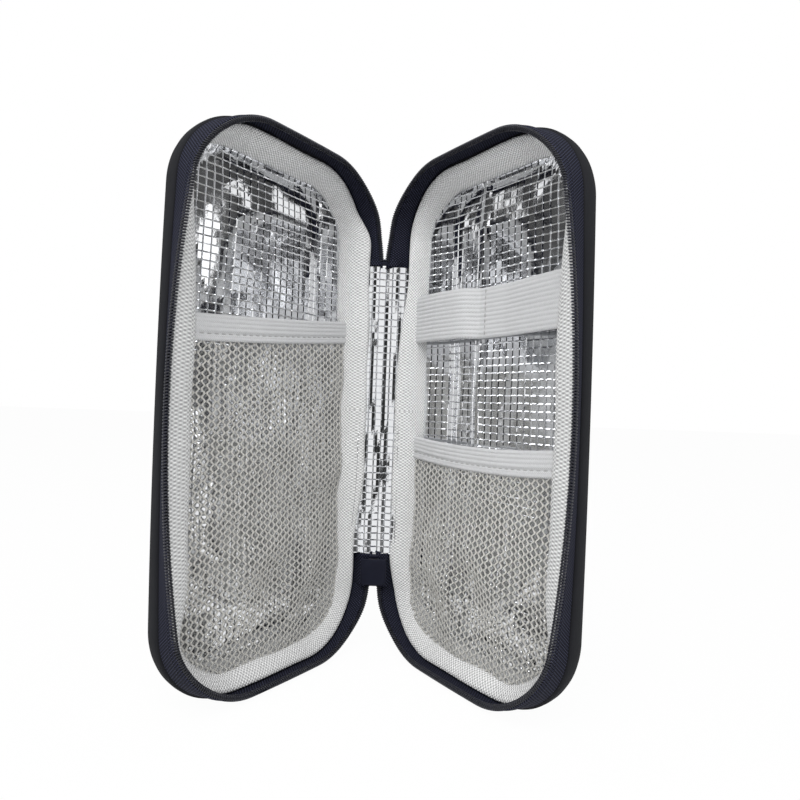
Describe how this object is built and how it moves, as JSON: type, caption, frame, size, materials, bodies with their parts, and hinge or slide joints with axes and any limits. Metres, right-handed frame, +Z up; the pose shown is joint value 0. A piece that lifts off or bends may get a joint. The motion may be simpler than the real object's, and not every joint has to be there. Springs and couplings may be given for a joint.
{
  "type": "insulin cooling case",
  "caption": "Zip-round semi-hard cooling case that opens like a book, with foil-lined padded halves, mesh pockets and an elastic pen band.",
  "frame": {"origin": "on the plane that the bottom end stands on, under the middle of the opened case's box", "axes": "+Z up along the spine from the slider end, +X from the left half to the right half as seen into the open case, +Y from the open side to the back of the spine"},
  "size_m": [0.1432, 0.0906, 0.204],
  "materials": {
    "shell_fabric": "matte charcoal knit laminated on moulded foam",
    "insulation_foam": "closed-cell foam, hidden between shell and liner",
    "foil_film": "bright aluminised film embossed with small squares",
    "binding_tape": "white ribbed woven tape",
    "zip_tape": "black-navy woven zip tape",
    "zip_coil": "black nylon coil with a soft sheen",
    "pocket_net": "white warp-knit net",
    "elastic": "white ribbed elastic",
    "thread": "white sewing thread",
    "slider_metal": "dark navy enamel"
  },
  "bodies": {
    "spine": {"spine_cover": "shell_fabric", "spine_insulation": "insulation_foam", "spine_foil": "foil_film", "top_tape_join": "zip_tape", "bottom_tape_join": "zip_tape", "zip_end_stop": "slider_metal", "zip_start_stop": "slider_metal", "parked_chain": "zip_coil"},
    "left_half": {"left_shell": "shell_fabric", "left_insulation": "insulation_foam", "left_foil_liner": "foil_film", "left_binding": "binding_tape", "left_zip_tape": "zip_tape", "left_zip_coil": "zip_coil", "left_mesh_pocket": "pocket_net", "left_pocket_hem": "elastic", "left_hem_stitching": "thread"},
    "right_half": {"right_shell": "shell_fabric", "right_insulation": "insulation_foam", "right_foil_liner": "foil_film", "right_binding": "binding_tape", "right_zip_tape": "zip_tape", "right_zip_coil": "zip_coil", "right_mesh_pocket": "pocket_net", "right_pocket_hem": "elastic", "right_hem_stitching": "thread", "pen_band": "elastic", "band_tack": "thread"},
    "slider": {"slider": "slider_metal"},
    "pull": {"pull_tab": "slider_metal"}
  },
  "joints": [
    {"name": "left_hinge", "type": "hinge", "parent": "spine", "child": "left_half", "pos_m": [-0.01, 0.03814, 0.102], "axis": [0, 0, 1], "range_deg": [-18, 37]},
    {"name": "right_hinge", "type": "hinge", "parent": "spine", "child": "right_half", "pos_m": [0.01, 0.03814, 0.102], "axis": [0, 0, -1], "range_deg": [-18, 37]},
    {"name": "slider_travel", "type": "slide", "parent": "spine", "child": "slider", "axis": [0, 0, -1], "range_m": [0, 0.001]},
    {"name": "pull_swing", "type": "hinge", "parent": "slider", "child": "pull", "pos_m": [0, 0.03644, 0.0342], "axis": [-1, 0, 0], "range_deg": [0, 125]}
  ]
}
